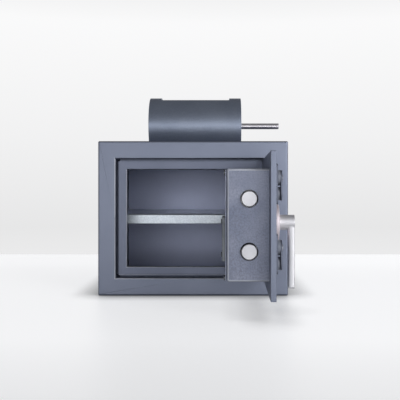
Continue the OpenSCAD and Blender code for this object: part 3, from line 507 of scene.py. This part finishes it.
def makeLamps(table):
    for name, lamp in table.items():
        clearSelection()
        bpy.ops.object.light_add(type="AREA", location=lamp["place"])
        light = bpy.context.object
        light.name = name
        light.data.shape = "RECTANGLE"
        light.data.size, light.data.size_y = lamp["size"]
        light.data.energy = lamp["power"]
        toward = Vector(lamp["aim"]) - Vector(lamp["place"])
        light.rotation_euler = toward.to_track_quat("-Z", "Y").to_euler()


def makeFloor(look):
    clearSelection()
    bpy.ops.mesh.primitive_plane_add(size=1)
    floor = bpy.context.object
    floor.name = "floor"
    floor.scale = (look["width"], look["back"] - look["front"], 1)
    floor.location = (0, (look["back"] + look["front"]) / 2, -look["below"])
    settle(floor)
    material, tree, shader = startMaterial("floorBoard")
    shader.inputs["Base Color"].default_value = (*look["colour"], 1)
    shader.inputs["Roughness"].default_value = look["rough"]
    shader.inputs["Specular IOR Level"].default_value = look["gloss"]
    glow = tree.nodes.new("ShaderNodeEmission")
    glow.inputs["Color"].default_value = (*look["glowColour"], 1)
    paths = tree.nodes.new("ShaderNodeLightPath")
    mirrored = addRange(tree, paths, "Is Glossy Ray", 0.0, 1.0, 0.0, look["mirrorGlow"])
    coords = tree.nodes.new("ShaderNodeTexCoord")
    split = tree.nodes.new("ShaderNodeSeparateXYZ")
    link(tree, coords, "Object", split, "Vector")
    seen = addRange(tree, paths, "Is Camera Ray", 0.0, 1.0, 0.0, 1.0)
    link(tree, addLevelRamp(tree, split, look["glow"], "Y"), "Color", seen, "To Max")
    link(tree, mirrored, "Result", seen, "To Min")
    # Ambient occlusion darkens the glow near the object: a painted contact shadow on the floor
    contactShadow = tree.nodes.new("ShaderNodeAmbientOcclusion")
    contactShadow.inputs["Distance"].default_value = look["contactShadow"] * mm
    contactShadow.samples = look["contactSamples"]
    deep = tree.nodes.new("ShaderNodeMath")
    deep.operation = "POWER"
    deep.inputs[1].default_value = look["contactDepth"]
    link(tree, contactShadow, "AO", deep, 0)
    strength = tree.nodes.new("ShaderNodeMath")
    strength.operation = "MULTIPLY"
    link(tree, seen, "Result", strength, 0)
    link(tree, deep, "Value", strength, 1)
    link(tree, strength, "Value", glow, "Strength")
    both = tree.nodes.new("ShaderNodeAddShader")
    link(tree, shader, 0, both, 0)
    link(tree, glow, 0, both, 1)
    link(tree, both, 0, tree.nodes["Material Output"], "Surface")
    floor.data.materials.append(material)


# The floor's glow by Y, from one metre in front of the object to one metre behind it
floorStops = [(0.0, 0.42), (0.06, 0.5), (0.125, 0.585), (0.235, 0.68), (0.5, 0.675), (0.6, 0.69),
              (0.66, 0.72), (1.0, 0.72)]
floorLook = {"width": 12.0, "front": -2.5, "back": 0.55, "below": 0.0003, "colour": (0.45, 0.455, 0.465),
             "rough": 0.42, "gloss": 0.2, "glow": floorStops, "mirrorGlow": 0.28,
             "glowColour": (0.98, 0.985, 1.0), "contactShadow": 57.0, "contactDepth": 2.2, "contactSamples": 16}

makeCamera(cameraView)
makeWorld(roomStops, sideStops, backdropStops, backdropWidth, sideWidth)
makeLamps(lamps)
makeFloor(floorLook)
print("camera, light and floor set")


# Sizes are in mm and angles in degrees. The outer shell only gets soft edges
shellSizes = {"soft": 0.4}

# Limits that tell the edges of the face frame's recess from its outline, and above and right of which its
# bevels get no painted highlight
frameSizes = {"middle": (0, 134), "recessSide": 134.9, "recessLow": 30.1, "recessHigh": 237.9,
              "outSide": 160, "outLow": 4, "outHigh": 264, "outEdge": 2.8, "recessEdge": 1.8, "soft": 0.3,
              "noHighlightAbove": 235, "noHighlightRight": 130}

# The edges of the stop frame's opening and of its foot, and above and right of which its bevels get no
# painted highlight
stopSizes = {"middle": (0, 134), "lip": -176.1, "lipRoom": 1.2, "side": 116.2, "low": 48.8, "high": 219.2,
             "openingEdge": 1.3, "foot": 34.4, "footEdge": 1.0, "soft": 0.3, "noHighlightAbove": 217,
             "noHighlightRight": 114}


def makeFaceFrame(look):
    front = copyNode("door_frame", "frontFrame")
    face = reach(front)[1][0]
    quarterCut(front, *look["middle"])
    # The recess edges get the painted edge highlight
    roundEdges(front, look["recessEdge"], 4, lambda a, b:
               alongEdge(a, b, y=face) and max(abs(a.x), abs(b.x)) < look["recessSide"] and
               look["recessLow"] < min(a.z, b.z) and max(a.z, b.z) < look["recessHigh"], paintedHighlight=True)
    roundEdges(front, look["outEdge"], 5, lambda a, b:
               alongEdge(a, b, y=face) and (max(abs(a.x), abs(b.x)) > look["outSide"] or
                                            min(a.z, b.z) < look["outLow"] or
                                            max(a.z, b.z) > look["outHigh"]))
    softenEdges(front, look["soft"])
    shadeSoft(front)
    finishPiece(front, "safe_body", ["door_frame"], "bodyPaint", "paintedEdgeHighlight")
    # Bevels along the top and at the right go back to the body paint, so the painted highlight stays on the
    # lower and left edges
    assignFaces(front, 0, lambda c, n: c.z > look["noHighlightAbove"] or c.x > look["noHighlightRight"])


def makeStopFrame(look):
    stop = copyNode("stop_frame", "stopFrame")
    face = reach(stop)[1][0]
    quarterCut(stop, *look["middle"])
    # The opening's edges and the foot's edge get the painted edge highlight
    roundEdges(stop, look["openingEdge"], 3, lambda a, b:
               near(a.y, b.y) and (near(a.y, face) or near(a.y, look["lip"], look["lipRoom"])) and
               (alongEdge(a, b, x=look["side"]) or alongEdge(a, b, x=-look["side"]) or
                alongEdge(a, b, z=look["low"]) or alongEdge(a, b, z=look["high"])), paintedHighlight=True)
    roundEdges(stop, look["footEdge"], 2, lambda a, b:
               alongEdge(a, b, y=face, z=look["foot"]), paintedHighlight=True)
    softenEdges(stop, look["soft"])
    shadeSoft(stop)
    # The stop frame takes the darker copy of the body paint, painted shade in the recess
    finishPiece(stop, "safe_body", ["stop_frame"], "stopPaintShaded", "paintedEdgeHighlight")
    # Bevels along the top and at the right go back to the stop paint, so the painted highlight stays on the
    # lower and left edges
    assignFaces(stop, 0, lambda c, n: c.z > look["noHighlightAbove"] or c.x > look["noHighlightRight"])


def makeBody():
    shell = copyNode("outer_shell", "shellWrap")
    softenEdges(shell, shellSizes["soft"])
    shadeSoft(shell)
    finishPiece(shell, "safe_body", ["outer_shell"], "bodyPaint")
    makeFaceFrame(frameSizes)
    makeStopFrame(stopSizes)

    simple = [("back_plate", "backPlate", "body_paint", "bodyPaint", 0.4),
              ("hinge_pads", "hingePads", "body_paint", "bodyPaint", 0.4),
              ("shelf_brackets", "shelfBrackets", "body_paint", "bodyPaint", 0.4),
              ("deposit_chute", "depositChute", "body_paint", "bodyPaint", 0.3),
              ("anti_fishing_combs", "antiFishingCombs", "zinc_steel", "zincPlate", 0.25)]
    for node, name, slotName, material, width in simple:
        piece = copyNode(node, name)
        softenEdges(piece, width)
        shadeSoft(piece)
        finishPiece(piece, "safe_body", [node], material)
        if node == "back_plate":
            # Its inner face gets a much lighter copy of the body paint: painted light on the cavity's back
            # wall
            piece.data.materials.append(materials["innerPaintLit"])
            assignFaces(piece, 1, lambda c, n: n.y < -facing)
    print("body made")


shelfSizes = {"sheet": 1.5, "bend": 2.6, "innerBend": 1.1, "soft": 0.25}


def makeShelf(look):
    shelf = copyNode("shelf", "shelfTray")
    front, back = reach(shelf)[1]
    top = reach(shelf)[2][1]
    under, inside = top - look["sheet"], front + look["sheet"]
    roundEdges(shelf, look["bend"], 5, lambda a, b:
               alongEdge(a, b, z=top, y=front) or alongEdge(a, b, z=top, y=back))
    roundEdges(shelf, look["innerBend"], 3, lambda a, b: alongEdge(a, b, z=under, y=inside))
    softenEdges(shelf, look["soft"])
    shadeSoft(shelf)
    finishPiece(shelf, "safe_body", ["shelf"], "galvanised")
    print("shelf made")


# Window and throat: start and span in degrees, 0 to the front and 90 up
drumSizes = {"radius": 54.5, "wall": 3.0, "half": 87.5, "windowHalf": 65.5, "window": (63, 84),
             "throat": (233, 74), "cut": (42, 62), "corner": 3.0, "sides": 180, "edge": 0.5}


def drumPoint(angle, radius, x=0.0):
    a = math.radians(angle)
    return Vector((x, drumAxis["y"] - radius * math.cos(a), drumAxis["z"] + radius * math.sin(a)))


def wedgeCutter(start, span, half, inner, outer, corner, steps=14):
    clearSelection()
    bpy.ops.mesh.primitive_plane_add(size=1, location=drumPoint(start, (inner + outer) / 2) * mm,
                                     rotation=(math.pi - math.radians(start), 0, 0))
    cutter = bpy.context.object
    cutter.scale = (2 * half * mm, (outer - inner) * mm, 1)
    settle(cutter)
    editMode(cutter)
    bpy.ops.mesh.select_all(action="SELECT")
    bpy.ops.mesh.spin(steps=steps, angle=math.radians(span), axis=(1, 0, 0),
                      center=(0, drumAxis["y"] * mm, drumAxis["z"] * mm))
    bpy.ops.mesh.select_all(action="SELECT")
    bpy.ops.mesh.remove_doubles(threshold=cleanUp["merge"] * mm)
    bpy.ops.mesh.normals_make_consistent(inside=False)
    for side in (-half, half):
        pickFaces(cutter, lambda c, n, side=side: near(c.x, side))
        bpy.ops.mesh.dissolve_faces()
    if corner:
        # The window's four corners, which run outward from the drum's axis
        pickEdges(cutter, lambda a, b: near(a.x, b.x) and near(abs(a.x), half) and any(
            meets(p, drumPoint(end, inner, p.x)) and meets(q, drumPoint(end, outer, q.x))
            for end in (start, start + span) for p, q in ((a, b), (b, a))))
        bpy.ops.mesh.bevel(offset=corner * mm, segments=5, affect="EDGES", clamp_overlap=False)
    objectMode()
    return cutter


def addTube(name, outer, inner, half, sides):
    y, z = drumAxis["y"], drumAxis["z"]
    tube = addRod(name, (-half, y, z), (half, y, z), outer, sides)
    editMode(tube)
    pickFaces(tube, lambda c, n: abs(n.x) > facing)
    bpy.ops.mesh.inset(thickness=(outer - inner) * mm, use_individual=True)
    bpy.ops.mesh.bridge_edge_loops()
    bpy.ops.mesh.select_all(action="SELECT")
    bpy.ops.mesh.normals_make_consistent(inside=False)
    objectMode()
    return tube


def makeDrumHousing(look):
    shell = addTube("drumShell", look["radius"], look["radius"] - look["wall"], look["half"], look["sides"])
    for part, corner in (("window", look["corner"]), ("throat", 0)):
        cutter = wedgeCutter(*look[part], look["windowHalf"], *look["cut"], corner)
        combine(shell, cutter, "DIFFERENCE")
    softenEdges(shell, look["edge"])
    shadeSoft(shell)
    finishPiece(shell, "safe_body", ["drum_housing"], "drumPaint")

    for node, name, slotName, material, width in [
            ("left_end_plate", "leftEndPlate", "drum_paint", "drumPaint", 0.5),
            ("right_end_plate", "rightEndPlate", "drum_paint", "drumPaint", 0.5),
            ("end_plate_lugs", "endPlateLugs", "drum_paint", "drumPaint", 0.3),
            ("drum_bushes", "drumBushes", "bronze", "bronze", 0.2)]:
        piece = copyNode(node, name)
        softenEdges(piece, width)
        shadeSoft(piece)
        finishPiece(piece, "safe_body", [node], material)
    print("drum housing made")


rotorSizes = {"radius": 50.3, "wall": 2.5, "half": 65.98, "window": (63, 84), "cut": (40, 60),
              "past": 3.0, "sides": 180, "edge": 0.4}
rodSizes = {"angle": -5, "reach": 36.0, "radius": 5.5, "neck": 4.0, "shoulder": 69.02, "end": 159.0,
            "neckEnd": 58.0, "chamfer": 1.0, "soft": 0.3, "sides": 72, "sharp": 40}


def makeRotor(look, rod):
    inner = look["radius"] - look["wall"]
    scoop = addTube("rotorScoop", look["radius"], inner, look["half"], look["sides"])
    cutter = wedgeCutter(*look["window"], look["half"] + look["past"], *look["cut"], 0)
    combine(scoop, cutter, "DIFFERENCE")
    softenEdges(scoop, look["edge"])
    shadeSoft(scoop)
    finishPiece(scoop, "drum_rotor", ["rotor_scoop"], "drumPaint")

    discs = copyNode("rotor_end_discs", "rotorDiscs")
    softenEdges(discs, look["edge"])
    shadeSoft(discs)
    finishPiece(discs, "drum_rotor", ["rotor_end_discs"], "drumPaint")

    place = drumPoint(rod["angle"], rod["reach"])
    bar = addRod("rotorRod", (rod["shoulder"], place.y, place.z), (rod["end"], place.y, place.z),
                 rod["radius"], rod["sides"])
    editMode(bar)
    pickFaces(bar, lambda c, n: n.x < -facing)
    bpy.ops.mesh.inset(thickness=(rod["radius"] - rod["neck"]) * mm)
    neck = (rod["neckEnd"] - rod["shoulder"]) * mm
    bpy.ops.mesh.extrude_region_move(TRANSFORM_OT_translate={"value": (neck, 0, 0)})
    objectMode()
    roundEdges(bar, rod["chamfer"], 3, lambda a, b: alongEdge(a, b, x=rod["end"]))
    roundEdges(bar, rod["soft"], 2, lambda a, b:
               alongEdge(a, b, x=rod["neckEnd"]) or alongEdge(a, b, x=rod["shoulder"]))
    shadeSoft(bar, rod["sharp"])
    finishPiece(bar, "drum_rotor", ["rotor_rod"], "rodSteel")
    print("rotor made")


# The plate, the box behind it and the box's cover
plateSizes = {"edge": 0.8}
boxSizes = {"bend": 2.5, "soft": 0.3}
coverSizes = {"rebate": 1.2, "rim": 0.6, "soft": 0.4}


def makeDoor():
    plate = copyNode("door_plate", "doorPlate")
    softenEdges(plate, plateSizes["edge"], segments=3)
    shadeSoft(plate)
    finishPiece(plate, "door", ["door_plate"], "bodyPaint")

    box = copyNode("bolt_box", "boltBox")
    fromDoor(box)
    (latch, hinge), (front, back), (low, high) = reach(box)
    # The box's bends get the painted edge highlight
    roundEdges(box, boxSizes["bend"], 4, lambda a, b:
               alongEdge(a, b, x=latch, y=back) or alongEdge(a, b, x=hinge, y=back) or
               alongEdge(a, b, z=low, y=back) or alongEdge(a, b, z=high, y=back) or
               alongEdge(a, b, x=latch, z=low) or alongEdge(a, b, x=latch, z=high) or
               alongEdge(a, b, x=hinge, z=low) or alongEdge(a, b, x=hinge, z=high), paintedHighlight=True)
    softenEdges(box, boxSizes["soft"])
    toDoor(box)
    shadeSoft(box)
    finishPiece(box, "door", ["bolt_box"], "boxPaint", "paintedEdgeHighlight")

    cover = copyNode("box_cover", "boxCover")
    fromDoor(cover)
    (latch, hinge), (front, back), (low, high) = reach(cover)
    # A groove runs round between the cover and the box
    roundEdges(cover, coverSizes["rebate"], 1, lambda a, b:
               alongEdge(a, b, y=front, x=latch) or alongEdge(a, b, y=front, x=hinge) or
               alongEdge(a, b, y=front, z=low) or alongEdge(a, b, y=front, z=high))
    # The cover's rim gets the painted edge highlight
    roundEdges(cover, coverSizes["rim"], 2, lambda a, b:
               alongEdge(a, b, y=back, x=latch) or alongEdge(a, b, y=back, x=hinge) or
               alongEdge(a, b, y=back, z=low) or alongEdge(a, b, y=back, z=high), paintedHighlight=True)
    softenEdges(cover, coverSizes["soft"])
    toDoor(cover)
    shadeSoft(cover)
    finishPiece(cover, "door", ["box_cover"], "boxPaint", "paintedEdgeHighlight")

    for node, name, slotName, material, width in [
            ("lock_guard", "lockGuard", "guard_zinc", "guardZinc", 0.5),
            ("hinge_dog_bar", "hingeDogBar", "zinc_steel", "zincPlate", 0.6),
            ("lock_escutcheons", "lockEscutcheons", "lock_dark", "lockDark", 0.8),
            ("keyhole_bezels", "keyholeBezels", "satin_steel", "lockSatin", 0.4),
            ("cover_bosses", "coverBosses", "lock_dark", "lockSatin", 0.4)]:
        piece = copyNode(node, name)
        softenEdges(piece, width)
        shadeSoft(piece)
        finishPiece(piece, "door", [node], material)
    print("door made")


# In the door's own frame, u from the hinge toward the free edge as a negative X
handleSizes = {"u": -146.0, "z": 134.0, "hub": 11.5, "out": -38.0, "hubIn": -14.3, "gripIn": -28.3,
               "gripHalf": 10.0, "low": 34.4, "longEdge": 60.0, "round": 4.2, "tip": 3.0, "rim": 1.0,
               "soft": 0.25, "sides": 96, "sharp": 40}
roseSizes = {"radius": 27.5, "out": -14.0, "back": -4.02, "edge": 1.6, "sides": 120, "sharp": 40}


def makeHandle(look, rose):
    u, z = look["u"], look["z"]
    hub = addRod("handleLever", (u, look["hubIn"], z), (u, look["out"], z), look["hub"], look["sides"])
    grip = addBlock("grip", (u - look["gripHalf"], look["out"], look["low"]),
                    (u + look["gripHalf"], look["gripIn"], z))
    roundEdges(grip, look["tip"], 4, lambda a, b:
               near(a.z, look["low"]) and near(b.z, look["low"]) and near(a.x, b.x))
    roundEdges(grip, look["round"], 5, lambda a, b:
               near(a.x, b.x) and near(a.y, b.y) and abs(a.z - b.z) > look["longEdge"])
    roundEdges(hub, look["rim"], 3, lambda a, b: alongEdge(a, b, y=look["out"]))
    combine(hub, grip, "UNION")
    softenEdges(hub, look["soft"], angle=look["sharp"])
    toDoor(hub)
    shadeSoft(hub, look["sharp"])
    finishPiece(hub, "handle", ["handle_lever"], "satinSteel")

    disc = addRod("handleRose", (u, rose["back"], z), (u, rose["out"], z), rose["radius"], rose["sides"])
    roundEdges(disc, rose["edge"], 4, lambda a, b: alongEdge(a, b, y=rose["out"]))
    toDoor(disc)
    shadeSoft(disc, rose["sharp"])
    finishPiece(disc, "door", ["handle_rose"], "roseSteel")
    print("handle made")


boltSizes = {"y": 32.5, "radius": 11.0, "chamfer": 0.8, "soft": 0.3, "sides": 96, "sharp": 40,
             "heights": {"upper_bolt": 171.0, "lower_bolt": 97.0}}


def makeBolts(look):
    for node, name in (("upper_bolt", "upperBolt"), ("lower_bolt", "lowerBolt")):
        piece = copyNode(node, name + "Sizes")
        fromDoor(piece)
        tip, root = reach(piece)[0]
        bpy.data.objects.remove(piece)
        z = look["heights"][node]
        bolt = addRod(name, (root, look["y"], z), (tip, look["y"], z), look["radius"], look["sides"])
        roundEdges(bolt, look["chamfer"], 1, lambda a, b: alongEdge(a, b, x=tip))
        roundEdges(bolt, look["soft"], 2, lambda a, b:
                   alongEdge(a, b, x=tip) or alongEdge(a, b, x=tip + look["chamfer"]))
        toDoor(bolt)
        shadeSoft(bolt, look["sharp"])
        finishPiece(bolt, "bolt_work", [node], "polished")
    print("bolts made")


makeBody()
makeShelf(shelfSizes)
makeDrumHousing(drumSizes)
makeRotor(rotorSizes, rodSizes)
makeDoor()
makeHandle(handleSizes, roseSizes)
makeBolts(boltSizes)

# The rest keep their CAD shape and get a finish
keptNodes = {
    "zincPlate": ["hinge_pins", "hinge_washers", "end_plate_screws", "rotor_stub_shafts", "rod_nut",
                  "bolt_guide", "lock_case_screws", "cover_rivets", "handle_spindle", "spindle_cam",
                  "cam_pin", "bolt_carriage"],
    "guardZinc": ["cover_screws", "guard_screws"],
    "lockBlack": ["upper_lock_case", "lower_lock_case", "spindle_clip", "carriage_screws"],
    "lockDark": ["upper_key_cover", "lower_key_cover"],
    "brass": ["upper_lock_bolt", "lower_lock_bolt"],
}
for material, names in keptNodes.items():
    for nodeName in names:
        nodes[nodeName].data.materials.clear()
        nodes[nodeName].data.materials.append(materials[material])
print("kept nodes finished")

bpy.context.scene.view_settings.view_transform = "Standard"
